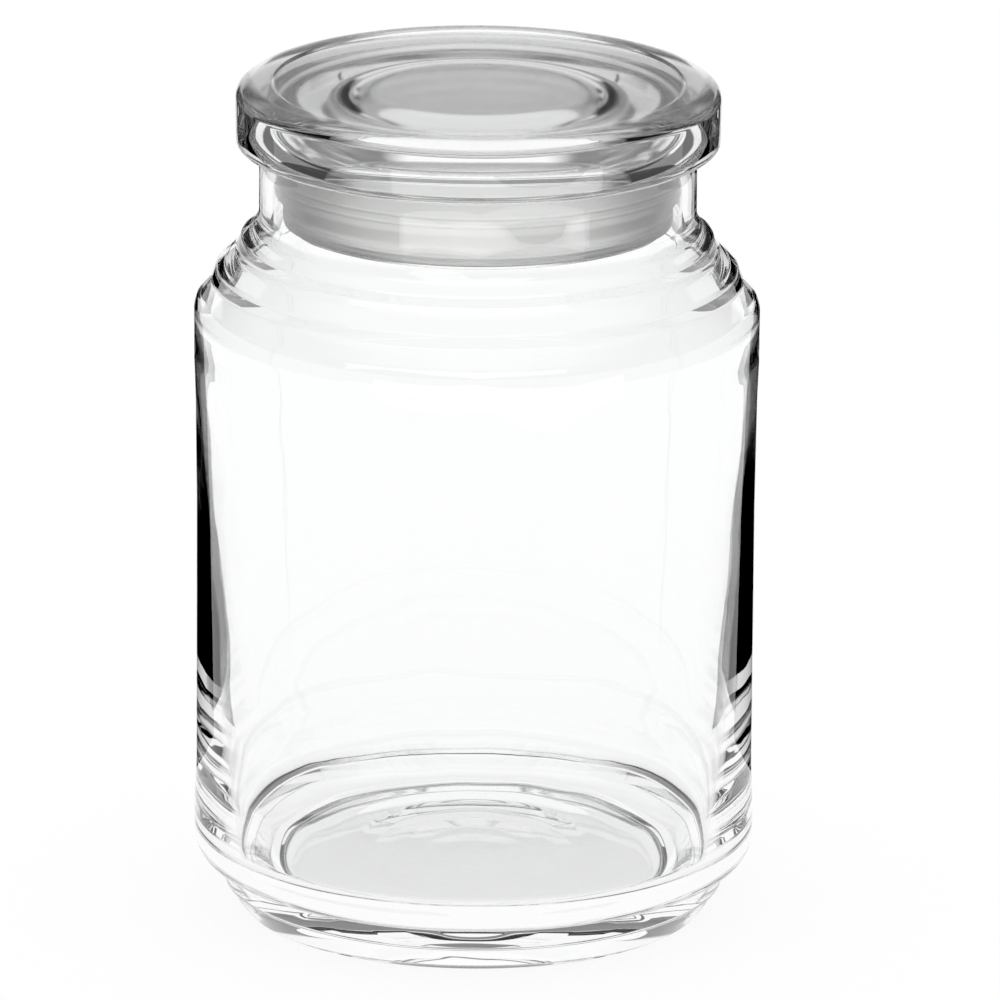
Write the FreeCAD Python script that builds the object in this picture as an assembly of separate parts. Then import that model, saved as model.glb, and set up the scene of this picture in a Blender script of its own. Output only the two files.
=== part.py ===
import FreeCAD, Part
import math
import os

# Lidded glass candy jar.  Millimetres, +Z up, the jar stands on z = 0 and
# every piece is turned about the Z axis.

# Overall
height = 154.0            # table to the bead on top of the lid
body_r = 51.1             # shoulder contact band, the widest part
mouth_r = 36.9            # bore of the neck

# Foot and heel, outside
heel_inset = 0.2          # heel contact band, inside the shoulder's
heel_round = 4.88
heel_band = 12.54         # height of the rounded heel and its band
foot_inset = 5.37         # groove between foot and heel
groove_h = 3.85
foot_h = 4.81
foot_flare = 3.53
bearing_width = 3.8       # ring the jar stands on

# Body, outside
panel_depth = 0.5         # label panel, recessed so a label doesn't rub
panel_ramp = 2.4
upper_depth = 0.25        # tapered zone between the panel and the shoulder
upper_h = 20.0
upper_ramp = 7.0
shoulder_band = 10.41     # height of the shoulder contact band

# Stepped shoulder: each corner as shares of the way out from neck to body
# and of the way down, with its rounding
shoulder_h = 14.87
shoulder_round = 4.38
shoulder_steps = (
    (0.719, 0.726, 2.2),
    (0.658, 0.572, 1.64),
    (0.339, 0.354, 4.2),
    (0.268, 0.184, 1.6),
)

# Neck
neck_wall = 2.55
neck_h = 14.28
neck_root_round = 5.0
rim_round_in = 1.2
rim_round_out = 1.0

# Underside
push_up = 3.2             # hollow under the base
push_up_edge = 1.5
push_up_ramp = 2.4

# Glass thickness and the inside
throat_h = 14.66          # straight bore of the neck
throat_round = 5.0
shoulder_wall = 1.65
shoulder_wall_drop = 2.01
shoulder_in_round = 6.0
upper_wall = 1.4
upper_drop = 25.41        # below the corner of the shoulder
middle_wall = 2.25
middle_share = 0.469388   # of the way up from the lower wall to the upper
lower_wall = 3.5
lower_z = 39.0
heel_wall = 5.9           # where the wall turns in to the floor
heel_wall_z = 14.0
heel_in_round = 3.0
floor_edge = 7.93         # edge of the floor, inside the groove of the foot
floor_wall = 5.2
floor_crown = 0.7         # the floor's middle over its edge
floor_flat_r = 14.0
floor_round = 6.0

# Lid
lid_height = 11.44
lid_overhang = 4.25       # past the outside of the neck
lid_taper = 0.08          # inwards, below the mould parting line
lid_under_round = 1.2
crown_width = 2.7         # rounded shoulder of the lid
crown_drop = 1.5
crown_round = 2.2
bead_width = 3.7          # raised bead round the flat of the top
bead_ramp = 0.6
bead_rise = 0.4

# Plug under the lid
plug_gap = 3.3            # plug to the bore of the neck
plug_length = 14.5
plug_land = 1.05          # glass above and below the gasket's groove
groove_depth = 0.8
plug_wall = 6.5           # glass round the mouth of the plug's hollow
hollow_taper = 0.1
hollow_round = 4.5
hollow_mouth_round = 1.6
ceiling = 4.5             # glass over the hollow

# Gasket
gasket_play = 0.05        # to the groove, all round
flange_play = 0.3         # upper part of the gasket to the bore of the neck
flange_h = 6.06
skirt_inset = 1.9         # lower part of the gasket, inside the bore
skirt_h = 3.44
rib_height = 0.7
rib_rise = 0.15
rib_steps = (1.24, 2.44)  # from the bottom of the gasket
flange_rib_steps = (2.96, 4.46)

# Worked out from the sizes above
rim_z = height - lid_height
neck_r = mouth_r + neck_wall
neck_root_z = rim_z - neck_h
shoulder_z = neck_root_z - shoulder_h
heel_r = body_r - heel_inset
foot_r = heel_r - foot_inset
heel_z = foot_h + groove_h
panel_r = body_r - panel_depth
bearing_out_r = foot_r - foot_flare
bearing_in_r = bearing_out_r - bearing_width
lid_r = neck_r + lid_overhang
plug_r = mouth_r - plug_gap
groove_r = plug_r - groove_depth


def reach_of(before, corner, after, radius):
    """Distance from a corner to where its rounding starts."""
    a = FreeCAD.Vector(before[0] - corner[0], 0, before[1] - corner[1])
    b = FreeCAD.Vector(after[0] - corner[0], 0, after[1] - corner[1])
    return radius / math.tan(a.getAngle(b) / 2)


def limited(wanted, other, length):
    """A reach, cut to its share of a side that two roundings don't fit on."""
    if wanted + other <= length:
        return wanted
    return wanted * 0.999 * length / (wanted + other)


def rounding(before, corner, after, reach):
    """Start, middle and end of the arc that rounds a corner."""
    c = FreeCAD.Vector(corner[0], 0, corner[1])
    a = (FreeCAD.Vector(before[0], 0, before[1]) - c).normalize()
    b = (FreeCAD.Vector(after[0], 0, after[1]) - c).normalize()
    half = a.getAngle(b) / 2
    radius = reach * math.tan(half)
    middle = (a + b).normalize() * (radius / math.sin(half) - radius)
    return c + a * reach, c + middle, c + b * reach


def turned(corners):
    """Solid of revolution from (radius, height, rounding) corners."""
    count = len(corners)
    sides = []
    reaches = []
    for i in range(count):
        before, corner, after = corners[i - 1], corners[i], corners[(i + 1) % count]
        sides.append(math.dist(corner[:2], after[:2]))
        reaches.append(reach_of(before, corner, after, corner[2]) if corner[2] else 0)
    edges = []
    ends = []
    for i in range(count):
        before, corner, after = corners[i - 1], corners[i], corners[(i + 1) % count]
        if not corner[2]:
            point = FreeCAD.Vector(corner[0], 0, corner[1])
            ends.append((point, point))
            continue
        reach = min(
            limited(reaches[i], reaches[i - 1], sides[i - 1]),
            limited(reaches[i], reaches[(i + 1) % count], sides[i]),
        )
        arc = rounding(before, corner, after, reach)
        edges.append(Part.Arc(*arc).toShape())
        ends.append((arc[0], arc[2]))
    for i in range(count):
        start = ends[i][1]
        stop = ends[(i + 1) % count][0]
        edges.append(Part.LineSegment(start, stop).toShape())
    wire = Part.Wire(Part.__sortEdges__(edges))
    return Part.Face(wire).revolve(FreeCAD.Vector(0, 0, 0), FreeCAD.Vector(0, 0, 1), 360)


def underside():
    """Hollow base and bearing ring, from the axis outwards."""
    edge_r = bearing_in_r - push_up_ramp
    return [
        (0, push_up, 0),
        (floor_flat_r, push_up, 300),
        (edge_r, push_up_edge, 3),
        (bearing_in_r, 0, 0.8),
        (bearing_out_r, 0, 0.5),
    ]


def body_outside():
    """Foot, groove, heel, label panel and shoulder band, upwards."""
    band_bottom = shoulder_z - shoulder_band
    upper_top = band_bottom - upper_ramp
    heel_top = heel_z + heel_band
    return [
        (foot_r, foot_h, 1.2),
        (foot_r, heel_z, 0.4),
        (heel_r, heel_z, heel_round),
        (heel_r, heel_top, 4),
        (panel_r, heel_top + panel_ramp, 4),
        (panel_r, upper_top - upper_h, 60),
        (body_r - upper_depth, upper_top, 60),
        (body_r, band_bottom, 20),
        (body_r, shoulder_z, shoulder_round),
    ]


def shoulder():
    """Rings of the stepped shoulder, from the body up to the neck."""
    across = body_r - neck_r
    rings = [
        (neck_r + out * across, neck_root_z - down * shoulder_h, fillet)
        for out, down, fillet in shoulder_steps
    ]
    return rings + [(neck_r, neck_root_z, neck_root_round)]


def inside():
    """Neck, wall and domed floor, from the rim down to the axis."""
    floor_z = push_up + floor_wall
    upper_z = shoulder_z - upper_drop
    middle_z = lower_z + middle_share * (upper_z - lower_z)
    return [
        (mouth_r, rim_z, rim_round_in),
        (mouth_r, rim_z - throat_h, throat_round),
        (body_r - shoulder_wall, shoulder_z - shoulder_wall_drop, shoulder_in_round),
        (panel_r - upper_wall, upper_z, 200),
        (panel_r - middle_wall, middle_z, 300),
        (panel_r - lower_wall, lower_z, 100),
        (heel_r - heel_wall, heel_wall_z, heel_in_round),
        (foot_r - floor_edge, floor_z - floor_crown, floor_round),
        (floor_flat_r, floor_z, 400),
        (0, floor_z, 0),
    ]


def jar():
    rim = [(neck_r, rim_z, rim_round_out)]
    return turned(underside() + body_outside() + shoulder() + rim + inside())


def plug():
    """Plug with its groove and hollow, from the lid's underside to the axis."""
    under = rim_z - plug_length
    groove_top = rim_z - plug_land
    groove_bottom = under + plug_land
    hollow_r = plug_r - plug_wall
    hollow_z = height - bead_rise - ceiling
    return [
        (plug_r, rim_z, 0.4),
        (plug_r, groove_top, 0.3),
        (groove_r, groove_top, 0.3),
        (groove_r, groove_bottom, 0.3),
        (plug_r, groove_bottom, 0.4),
        (plug_r, under, 0.4),
        (hollow_r, under, hollow_mouth_round),
        (hollow_r - hollow_taper, hollow_z, hollow_round),
        (0, hollow_z, 0),
    ]


def lid():
    flat_z = height - bead_rise
    crown_r = lid_r - crown_width
    bead_r = crown_r - bead_width
    parting_z = rim_z + lid_height / 2
    disc = [
        (0, flat_z, 0),
        (bead_r - bead_ramp, flat_z, 0.6),
        (bead_r, height, 0.6),
        (crown_r, height, 4),
        (lid_r, height - crown_drop, crown_round),
        (lid_r, parting_z, 2),
        (lid_r - lid_taper, rim_z, lid_under_round),
    ]
    return turned(disc + plug())


def rib(r, z):
    """One low rib round the gasket, listed from its lower edge."""
    half = rib_height / 2
    return [
        (r, z - half, 0.1),
        (r + rib_rise, z - half + 0.2, 0.1),
        (r + rib_rise, z + half - 0.2, 0.1),
        (r, z + half, 0.1),
    ]


def gasket():
    """Ribbed skirt that widens to the flange that seals against the neck."""
    bore = groove_r + gasket_play
    skirt_r = mouth_r - skirt_inset
    flange_r = mouth_r - flange_play
    bottom = rim_z - plug_length + plug_land + gasket_play
    top = rim_z - plug_land - gasket_play
    profile = [(bore, bottom, 0.35), (skirt_r, bottom, 0.5)]
    for step in rib_steps:
        profile += rib(skirt_r, bottom + step)
    profile += [(skirt_r, bottom + skirt_h, 2.0), (flange_r, top - flange_h, 1.5)]
    for step in flange_rib_steps:
        profile += rib(flange_r, top - step)
    profile += [(flange_r, top, 0.6), (bore, top, 0.35)]
    return turned(profile)


os.makedirs("parts", exist_ok=True)
for name, build in (("jar", jar), ("lid", lid), ("gasket", gasket)):
    build().exportStep("parts/" + name + ".step")
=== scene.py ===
import bpy, bmesh
import math
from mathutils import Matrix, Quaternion, Vector


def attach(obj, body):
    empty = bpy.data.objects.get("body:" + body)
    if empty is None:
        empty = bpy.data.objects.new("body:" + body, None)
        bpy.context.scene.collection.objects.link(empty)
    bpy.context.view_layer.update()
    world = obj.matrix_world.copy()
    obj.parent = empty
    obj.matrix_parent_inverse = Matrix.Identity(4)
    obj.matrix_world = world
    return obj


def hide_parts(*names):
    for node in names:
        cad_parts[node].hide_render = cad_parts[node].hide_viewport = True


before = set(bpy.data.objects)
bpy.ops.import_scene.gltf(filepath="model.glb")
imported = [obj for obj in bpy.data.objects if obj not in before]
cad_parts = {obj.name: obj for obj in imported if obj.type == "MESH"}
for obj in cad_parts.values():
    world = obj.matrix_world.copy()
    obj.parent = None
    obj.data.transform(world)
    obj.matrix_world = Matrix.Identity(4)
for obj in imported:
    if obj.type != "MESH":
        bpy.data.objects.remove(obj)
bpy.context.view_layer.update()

# ---------------------------------------------------------------- the jar
# Container glass, blown in a three-piece mould: foot, heel, recessed label
# panel, stepped shoulder and neck come from the mould, and the inside is as
# the air left it, thick at the heel and thin in the wall.
mm = 0.001
SPIN_STEPS = 160
MOST_CUTS = 12            # into one straight side
DEGREES_A_FACET = 7       # of a rounded corner


def turned_piece(name, corners, closed):
    """Draws half a section as a line of points, rounds its corners, spins it.

    Corners are (radius, height, rounding) in millimetres.  A closed section
    makes a ring, and an open one starts and ends on the axis.
    """
    bpy.ops.object.select_all(action="DESELECT")
    bpy.ops.mesh.primitive_plane_add(size=mm, location=(0, 0, 0))
    piece = bpy.context.object
    piece.name = piece.data.name = name
    bpy.ops.object.mode_set(mode="EDIT")
    bpy.ops.mesh.select_all(action="SELECT")
    bpy.ops.mesh.merge(type="CENTER")
    bpy.ops.transform.translate(value=(corners[0][0] * mm, 0, corners[0][1] * mm))
    for a, b in zip(corners, corners[1:]):
        step = ((b[0] - a[0]) * mm, 0, (b[1] - a[1]) * mm)
        bpy.ops.mesh.extrude_vertices_move(TRANSFORM_OT_translate={"value": step})
    if closed:
        pick(piece, lambda v: near(v, corners[0]) or near(v, corners[-1]))
        bpy.ops.mesh.edge_face_add()
    round_corners(piece, corners)
    split_long_sides(piece, longest=4 * mm)
    bpy.ops.mesh.select_all(action="SELECT")
    bpy.ops.mesh.spin(
        steps=SPIN_STEPS, angle=math.tau, center=(0, 0, 0), axis=(0, 0, 1)
    )
    bpy.ops.mesh.select_all(action="SELECT")
    bpy.ops.mesh.remove_doubles(threshold=0.002 * mm)
    bpy.ops.mesh.normals_make_consistent(inside=False)
    bpy.ops.object.mode_set(mode="OBJECT")
    bpy.ops.object.shade_smooth()
    return piece


def near(v, corner):
    """Whether a vertex lies on a corner, to a thousandth of a millimetre."""
    across, up, _ = corner
    return abs(v.co.x - across * mm) < 1e-6 and abs(v.co.z - up * mm) < 1e-6


def pick(piece, wanted):
    """Selects the vertices that are wanted, and nothing else."""
    bpy.ops.mesh.select_all(action="DESELECT")
    mesh = bmesh.from_edit_mesh(piece.data)
    for v in mesh.verts:
        v.select = wanted(v)
    mesh.select_flush_mode()
    bmesh.update_edit_mesh(piece.data)


def round_corners(piece, corners):
    """Bevels each corner that has a rounding, with tangents that fit its sides."""
    count = len(corners)
    sides = [
        math.dist(corner[:2], corners[(i + 1) % count][:2])
        for i, corner in enumerate(corners)
    ]
    turns, reaches = [], []
    for i, (r, z, rounding) in enumerate(corners):
        a = Vector(corners[i - 1][:2]) - Vector((r, z))
        b = Vector(corners[(i + 1) % count][:2]) - Vector((r, z))
        half = a.angle(b, math.pi) / 2
        turns.append(math.pi - 2 * half)
        reaches.append(rounding / math.tan(half) if rounding else 0)
    for i, corner in enumerate(corners):
        if not corner[2]:
            continue
        reach = reaches[i]
        for j, side in ((i - 1, sides[i - 1]), ((i + 1) % count, sides[i])):
            both = reaches[i] + reaches[j]
            if both > side:
                reach = min(reach, reaches[i] * 0.999 * side / both)
        pick(piece, lambda v: near(v, corner))
        facets = max(3, round(math.degrees(turns[i]) / DEGREES_A_FACET))
        bpy.ops.mesh.bevel(offset=reach * mm, segments=facets, affect="VERTICES")


def split_long_sides(piece, longest):
    """Adds points on the long straight sides, so that the glass can ripple."""
    for cuts in range(MOST_CUTS, 0, -1):
        bpy.ops.mesh.select_all(action="DESELECT")
        mesh = bmesh.from_edit_mesh(piece.data)
        mesh.select_mode = {"EDGE"}
        found = False
        for edge in mesh.edges:
            length = edge.calc_length()
            too_short = length <= cuts * longest
            too_long = length > (cuts + 1) * longest and cuts < MOST_CUTS
            if not too_short and not too_long:
                edge.select_set(True)
                found = True
        bmesh.update_edit_mesh(piece.data)
        if found:
            bpy.ops.mesh.subdivide(number_cuts=cuts)
    mesh = bmesh.from_edit_mesh(piece.data)
    mesh.select_mode = {"VERT"}
    bmesh.update_edit_mesh(piece.data)


# From the axis outwards: hollow base, foot, heel, panel, shoulder band, steps
# and neck, and then back down the inside to the middle of the floor.
rim_z = 142.56
body_r = 51.1
neck_r = 39.45
mouth_r = 36.9
shoulder_z = 113.41
neck_root_z = 128.28
foot_r = 45.53
heel_r = 50.9
panel_r = 50.6
floor_z = 8.4
jar_corners = [
    (0, 3.2, 0),
    (14, 3.2, 300),
    (35.8, 1.5, 3),
    (38.2, 0, 0.8),
    (42.0, 0, 0.5),
    (foot_r, 4.81, 1.2),
    (foot_r, 8.66, 0.4),
    (heel_r, 8.66, 4.88),
    (heel_r, 19.4, 60),
    (panel_r, 26.0, 60),
    (panel_r, 76.0, 60),
    (50.85, 96.0, 60),
    (body_r, 103.0, 20),
    (body_r, shoulder_z, 4.38),
    (47.83, 117.48, 2.2),
    (47.12, 119.77, 1.64),
    (43.4, 123.01, 4.2),
    (42.57, 125.55, 1.6),
    (neck_r, neck_root_z, 5.0),
    (neck_r, rim_z, 1.0),
    (mouth_r, rim_z, 1.2),
    (mouth_r, 127.9, 5),
    (49.45, 111.4, 6),
    (49.2, 88.0, 200),
    (48.35, 62.0, 300),
    (47.1, 39.0, 100),
    (45.0, 14.0, 3.0),
    (37.6, 7.7, 6.0),
    (27, 8.0, 20),
    (21, floor_z, 12),
    (17, floor_z - 0.16, 10),
    (12, floor_z - 0.04, 8),
    (8, floor_z - 0.16, 6),
    (4, floor_z, 4),
    (0, floor_z - 0.08, 0),
]
jar = turned_piece("jar_glass_body", jar_corners, closed=False)


def ripple(piece, wanted, swing, length):
    """Displaces the chosen points in soft waves, as blown glass cools."""
    bpy.ops.object.mode_set(mode="EDIT")
    pick(piece, wanted)
    bpy.ops.object.vertex_group_assign_new()
    bpy.ops.object.mode_set(mode="OBJECT")
    waves = bpy.data.textures.new("waves", "CLOUDS")
    waves.noise_scale = length
    wave = piece.modifiers.new("wave", "DISPLACE")
    wave.texture = waves
    wave.vertex_group = piece.vertex_groups.active.name
    wave.strength = swing
    bpy.ops.object.modifier_apply(modifier="wave")


def on_inner_wall(v):
    """Whether a vertex is on the inside of the body, from heel to shoulder."""
    inside = math.hypot(v.co.x, v.co.y) < 49.7 * mm
    return inside and 10 * mm < v.co.z < 112 * mm


ripple(jar, on_inner_wall, swing=0.25 * mm, length=28 * mm)


FLINT_TINT = (0.992, 0.997, 0.995, 1)


def clear_glass(name, peel):
    """Clear glass with a fire-polished skin that swells a little."""
    material = bpy.data.materials.new(name)
    material.use_nodes = True
    nodes, links = material.node_tree.nodes, material.node_tree.links
    shader = nodes["Principled BSDF"]
    shader.inputs["Base Color"].default_value = FLINT_TINT
    shader.inputs["Roughness"].default_value = 0.0
    shader.inputs["IOR"].default_value = 1.52
    shader.inputs["Transmission Weight"].default_value = 1.0
    place = nodes.new("ShaderNodeTexCoord")
    swell = nodes.new("ShaderNodeTexNoise")
    swell.inputs["Scale"].default_value = 70
    swell.inputs["Detail"].default_value = 1.0
    bump = nodes.new("ShaderNodeBump")
    bump.inputs["Strength"].default_value = 1.0
    bump.inputs["Distance"].default_value = peel
    links.new(place.outputs["Object"], swell.inputs["Vector"])
    links.new(swell.outputs[0], bump.inputs["Height"])
    links.new(bump.outputs["Normal"], shader.inputs["Normal"])
    return material


jar.data.materials.append(clear_glass("flint_glass_of_jar", peel=0.04 * mm))
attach(jar, "root")
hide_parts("jar")

# ---------------------------------------------------------------- the lid
# Pressed glass: a thick disc with a low bead round its flat top, and a
# hollow plug under it with a groove for the gasket.  It only rests on the
# rim of the neck.
lid_r = 43.7
lid_under_z = rim_z + 0.03    # just off the rim, so that the two faces don't fight
plug_r = 33.6
plug_end_z = 128.06
groove_r = 32.8
groove_low, groove_high = 129.11, 141.51
flat_z, bead_z = 153.6, 154.0
hollow_z = 149.1
lid_corners = [
    (0, flat_z, 0),
    (36.7, flat_z, 0.6),
    (37.3, bead_z, 0.6),
    (41.0, bead_z, 4),
    (lid_r, 152.5, 2.2),
    (lid_r, 148.28, 2),
    (43.62, lid_under_z, 1.2),
    (plug_r, lid_under_z, 0.4),
    (plug_r, groove_high, 0.3),
    (groove_r, groove_high, 0.3),
    (groove_r, groove_low, 0.3),
    (plug_r, groove_low, 0.4),
    (plug_r, plug_end_z, 0.4),
    (27.1, plug_end_z, 1.6),
    (27.0, hollow_z, 9.5),
    (0, hollow_z, 0),
]
lid = turned_piece("lid_glass_plug", lid_corners, closed=False)
lid_glass = clear_glass("pressed_glass_of_lid", peel=0.03 * mm)
# The flat of the top is a little hazed, so that its reflections are soft.
nodes, links = lid_glass.node_tree.nodes, lid_glass.node_tree.links
shader = nodes["Principled BSDF"]
place = nodes.new("ShaderNodeTexCoord")
parts = nodes.new("ShaderNodeSeparateXYZ")
on_top = nodes.new("ShaderNodeMapRange")
on_top.inputs["From Min"].default_value = 0.1533
on_top.inputs["From Max"].default_value = 0.1535
on_top.inputs["To Max"].default_value = 0.16
links.new(place.outputs["Object"], parts.inputs[0])
links.new(parts.outputs["Z"], on_top.inputs["Value"])
links.new(on_top.outputs[0], shader.inputs["Roughness"])
lid.data.materials.append(lid_glass)
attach(lid, "root")
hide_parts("lid")

# ---------------------------------------------------------------- the gasket
# Natural polyethylene ring, milky and a little see-through, stretched over
# the plug into its groove; its flange and low ribs grip the bore of the neck.
play = 0.05               # to the groove, all round
bore = groove_r + play
low, high = groove_low + play, groove_high - play
skirt_r = 35.0
flange_r = 36.6


def rib(r, z):
    """A low rib round the ring, 0.7 mm high and 0.15 mm proud."""
    top_r = r + 0.15
    return [
        (r, z - 0.35, 0.1),
        (top_r, z - 0.15, 0.1),
        (top_r, z + 0.15, 0.1),
        (r, z + 0.35, 0.1),
    ]


gasket_corners = [(bore, low, 0.35), (skirt_r, low, 0.5)]
gasket_corners += rib(skirt_r, 130.4) + rib(skirt_r, 131.6)
gasket_corners += [(skirt_r, 132.6, 2.0), (flange_r, 135.4, 1.5)]
gasket_corners += rib(flange_r, 137.0) + rib(flange_r, 138.5)
gasket_corners += [(flange_r, high, 0.6), (bore, high, 0.35)]
gasket = turned_piece("gasket_ring", gasket_corners, closed=True)
material = bpy.data.materials.new("natural_polyethylene")
material.use_nodes = True
shader = material.node_tree.nodes["Principled BSDF"]
shader.inputs["IOR"].default_value = 1.25
shader.inputs["Transmission Weight"].default_value = 0.9
nodes, links = material.node_tree.nodes, material.node_tree.links
place = nodes.new("ShaderNodeTexCoord")
grain = nodes.new("ShaderNodeTexNoise")
grain.inputs["Scale"].default_value = 900
sheen = nodes.new("ShaderNodeMapRange")
sheen.inputs["To Min"].default_value = 0.36
sheen.inputs["To Max"].default_value = 0.54
milk = nodes.new("ShaderNodeTexNoise")
milk.inputs["Scale"].default_value = 120
cloud = nodes.new("ShaderNodeValToRGB")
cloud.color_ramp.elements[0].color = (0.84, 0.84, 0.83, 1)
cloud.color_ramp.elements[1].color = (0.92, 0.92, 0.91, 1)
bump = nodes.new("ShaderNodeBump")
bump.inputs["Strength"].default_value = 0.3
bump.inputs["Distance"].default_value = 0.05 * mm
links.new(place.outputs["Object"], grain.inputs["Vector"])
links.new(place.outputs["Object"], milk.inputs["Vector"])
links.new(grain.outputs[0], sheen.inputs["Value"])
links.new(sheen.outputs[0], shader.inputs["Roughness"])
links.new(milk.outputs[0], cloud.inputs[0])
links.new(cloud.outputs[0], shader.inputs["Base Color"])
links.new(grain.outputs[0], bump.inputs["Height"])
links.new(bump.outputs["Normal"], shader.inputs["Normal"])
gasket.data.materials.append(material)
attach(gasket, "root")
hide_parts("gasket")

# ---------------------------------------------------------------- the camera
# A long lens at a little over 16 degrees above the table.
elevation = math.radians(16.53)
distance = 2.4
aim = Vector((0.0044, 0, 0.0756))
back = Vector((0, -math.cos(elevation), math.sin(elevation)))
bpy.ops.object.select_all(action="DESELECT")
bpy.ops.object.camera_add(location=aim + back * distance)
camera = bpy.context.object
camera.data.sensor_width = 36
camera.data.lens = 476.6
camera.rotation_mode = "QUATERNION"
roll = Quaternion((0, 0, 1), math.radians(0.44))
camera.rotation_quaternion = (-back).to_track_quat("-Z", "Y") @ roll
camera.data.clip_end = 20
bpy.context.scene.camera = camera

# ---------------------------------------------------------------- the studio
# White room and pale table. Only the glass sees the dark band of the room,
# the black cards behind it that draw its edges and the white cards on the
# table that light it from below. The cards turn with the camera.
scene = bpy.context.scene
scene.view_settings.view_transform = "Standard"
# Light runs a long way round inside thick glass.
scene.cycles.max_bounces = 24
scene.cycles.transmission_bounces = 24
scene.cycles.glossy_bounces = 10
world = bpy.data.worlds.new("white_room")
scene.world = world
world.use_nodes = True
nodes, links = world.node_tree.nodes, world.node_tree.links
direction = nodes.new("ShaderNodeTexCoord")
parts = nodes.new("ShaderNodeSeparateXYZ")
heights = nodes.new("ShaderNodeValToRGB")
bands = heights.color_ramp.elements
bands[0].position = 0.17
bands[1].position = 0.85
for height in (0.21, 0.66):
    bands.new(height).color = (0.03, 0.03, 0.03, 1)
bands[0].color = bands[-1].color = (1, 1, 1, 1)
rays = nodes.new("ShaderNodeLightPath")
plain = nodes.new("ShaderNodeMath")
plain.operation = "MAXIMUM"
# What is seen through the glass keeps a fifth of the white in the band.
through = nodes.new("ShaderNodeMath")
through.operation = "MULTIPLY_ADD"
through.inputs[1].default_value = 0.2
white = nodes.new("ShaderNodeMath")
white.operation = "MAXIMUM"
links.new(direction.outputs["Generated"], parts.inputs[0])
links.new(parts.outputs["Z"], heights.inputs[0])
links.new(rays.outputs["Is Camera Ray"], plain.inputs[0])
links.new(rays.outputs["Is Diffuse Ray"], plain.inputs[1])
links.new(rays.outputs["Is Transmission Ray"], through.inputs[0])
links.new(plain.outputs[0], through.inputs[2])
links.new(through.outputs[0], white.inputs[0])
links.new(heights.outputs["Color"], white.inputs[1])
links.new(white.outputs[0], nodes["Background"].inputs["Strength"])
nodes["Background"].inputs["Color"].default_value = (1, 1, 1, 1)

bpy.ops.mesh.primitive_plane_add(size=8, location=(0, 0, 0))
table = bpy.context.object
table.name = "pale_table"
paper = bpy.data.materials.new("pale_paper")
paper.use_nodes = True
nodes, links = paper.node_tree.nodes, paper.node_tree.links
nodes.clear()
out = nodes.new("ShaderNodeOutputMaterial")
add = nodes.new("ShaderNodeAddShader")
diffuse = nodes.new("ShaderNodeBsdfDiffuse")
diffuse.inputs["Color"].default_value = (0.1, 0.1, 0.1, 1)
glow = nodes.new("ShaderNodeEmission")
rays = nodes.new("ShaderNodeLightPath")
by_glass = nodes.new("ShaderNodeMath")
by_glass.operation = "MAXIMUM"
glass_share = nodes.new("ShaderNodeMath")
glass_share.operation = "MULTIPLY"
glass_share.inputs[1].default_value = 0.9
brightness = nodes.new("ShaderNodeMath")
brightness.operation = "MULTIPLY_ADD"
brightness.inputs[1].default_value = 0.91
links.new(rays.outputs["Is Glossy Ray"], by_glass.inputs[0])
links.new(rays.outputs["Is Transmission Ray"], by_glass.inputs[1])
links.new(by_glass.outputs[0], glass_share.inputs[0])
links.new(rays.outputs["Is Camera Ray"], brightness.inputs[0])
links.new(glass_share.outputs[0], brightness.inputs[2])
links.new(brightness.outputs[0], glow.inputs["Strength"])
links.new(diffuse.outputs[0], add.inputs[0])
links.new(glow.outputs[0], add.inputs[1])
links.new(add.outputs[0], out.inputs["Surface"])
table.data.materials.append(paper)

bpy.ops.object.empty_add(location=(0, 0, 0))
ring = bpy.context.object
ring.name = "card_ring"
follow = ring.constraints.new("LOCKED_TRACK")
follow.target = camera
follow.track_axis = "TRACK_NEGATIVE_Y"
follow.lock_axis = "LOCK_Z"


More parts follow.
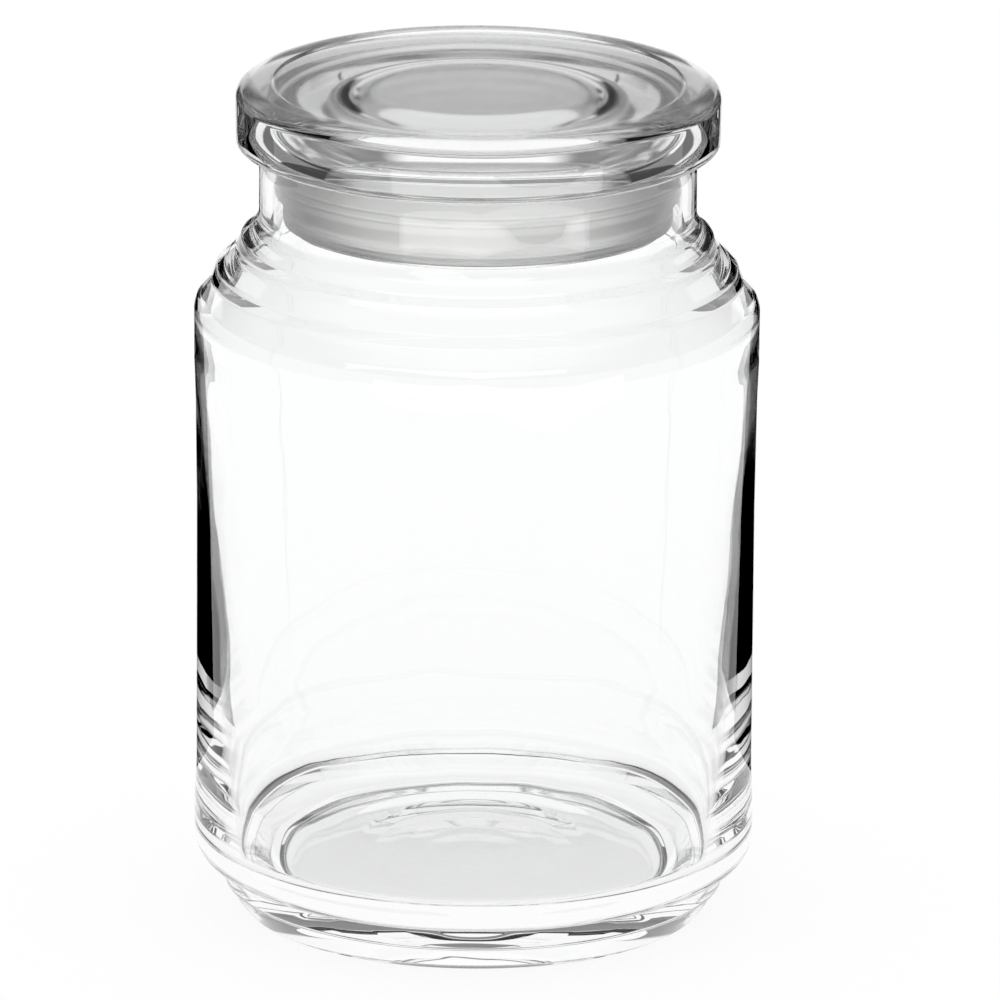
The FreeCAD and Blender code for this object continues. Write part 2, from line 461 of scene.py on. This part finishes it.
def card(name, corners, strength):
    """A flat card that only the glass sees, given by its four corners in turn."""
    bpy.ops.object.select_all(action="DESELECT")
    bpy.ops.mesh.primitive_plane_add(size=1, location=(0, 0, 0))
    piece = bpy.context.object
    piece.name = name
    plane_order = (0, 1, 3, 2)
    for number, corner in zip(plane_order, corners):
        piece.data.vertices[number].co = corner
    piece.visible_camera = False
    piece.visible_diffuse = False
    piece.visible_shadow = False
    piece.visible_volume_scatter = False
    paint = bpy.data.materials.new(name + "_paint")
    paint.use_nodes = True
    tree = paint.node_tree
    tree.nodes.clear()
    glow = tree.nodes.new("ShaderNodeEmission")
    glow.inputs["Color"].default_value = (1, 1, 1, 1)
    glow.inputs["Strength"].default_value = strength
    end = tree.nodes.new("ShaderNodeOutputMaterial")
    tree.links.new(glow.outputs[0], end.inputs["Surface"])
    piece.data.materials.append(paint)
    piece.parent = ring


BLACK, WHITE = 0.0, 3.0
CARD_Y = 0.039            # of the cards beside body and neck, behind the axis
# Corners of the right-hand cards, across and up.  The lid's card runs back.
back_card = [(0.0565, 0.012), (0.100, 0.012), (0.076, 0.115), (0.0565, 0.115)]
lid_card = [
    (0.064, -0.012, 0.132),
    (0.078, 0.130, 0.108),
    (0.078, 0.130, 0.160),
    (0.064, -0.012, 0.168),
]
for side, near_x, far_x in ((-1, 0.045, 0.051), (1, 0.043, 0.055)):
    neck_card = [(near_x, 0.117), (far_x, 0.117), (far_x, 0.131), (near_x, 0.131)]
    card("black_card_back", [(x * side, CARD_Y, z) for x, z in back_card], BLACK)
    card("black_card_neck", [(x * side, CARD_Y, z) for x, z in neck_card], BLACK)
    card("black_card_lid", [(x * side, y, z) for x, y, z in lid_card], BLACK)
# Corners of the cards that lie on the table, across and along.
left_card = [(0, -0.44), (-0.29, -0.345), (-0.37, -0.44), (0, -0.58)]
card("white_card_left", [(x, y, 0.002) for x, y in left_card], WHITE)
right_card = [(0, -0.44), (0.385, -0.235), (0.50, -0.30), (0, -0.58)]
card("white_card_right", [(x, y, 0.002) for x, y in right_card], WHITE)
